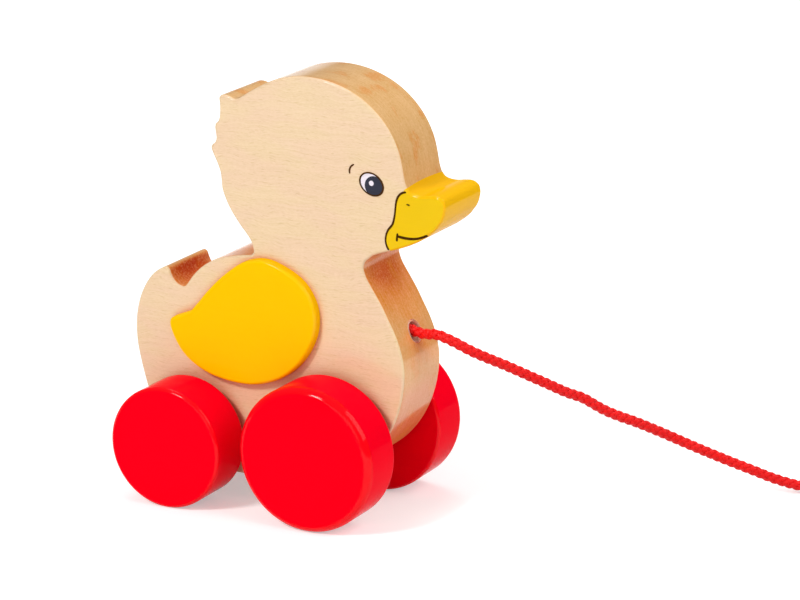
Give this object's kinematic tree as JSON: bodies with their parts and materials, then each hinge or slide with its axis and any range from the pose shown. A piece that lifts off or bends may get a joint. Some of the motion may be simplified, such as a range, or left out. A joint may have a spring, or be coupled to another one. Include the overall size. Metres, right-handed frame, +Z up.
{
  "type": "pull-along toy duck",
  "caption": "Wooden pull-along duck: a thick natural-wood duckling board with a yellow bill and wings, two pairs of red wheels and a red braided cord with a bead.",
  "frame": {"origin": "on the floor under the middle of the duck: half way along it, in the middle of the board's thickness", "axes": "+X the way the duck looks, +Y to its left, +Z up"},
  "size_m": [0.261, 0.1454, 0.1429],
  "materials": {
    "wood": "satin clear lacquer on pale maple",
    "dowel_wood": "plain sanded beech",
    "yellow_paint": "glossy yellow lacquer",
    "red_paint": "glossy red lacquer",
    "red_cord": "braided cotton",
    "print_ink": "matt dark printing ink",
    "eye_white": "matt white printing ink"
  },
  "bodies": {
    "duck": {"duck_body": "wood", "right_wing": "yellow_paint", "left_wing": "yellow_paint", "right_wing_dowel_front": "dowel_wood", "right_wing_dowel_rear": "dowel_wood", "left_wing_dowel_front": "dowel_wood", "left_wing_dowel_rear": "dowel_wood", "cord_in_bore": "red_cord", "cord_stop_knot": "red_cord", "pull_cord": "red_cord", "pull_cord_coil": "red_cord", "pull_bead": "yellow_paint", "end_knot": "red_cord"},
    "front_wheelset": {"front_axle": "dowel_wood", "front_wheel_right": "red_paint", "front_wheel_left": "red_paint"},
    "rear_wheelset": {"rear_axle": "dowel_wood", "rear_wheel_right": "red_paint", "rear_wheel_left": "red_paint"}
  },
  "joints": [
    {"name": "front_wheels_roll", "type": "hinge", "parent": "duck", "child": "front_wheelset", "pos_m": [0.0168, 0, 0.024], "axis": [0, 1, 0], "continuous": true},
    {"name": "rear_wheels_roll", "type": "hinge", "parent": "duck", "child": "rear_wheelset", "pos_m": [-0.0344, 0, 0.0202], "axis": [0, 1, 0], "continuous": true}
  ]
}
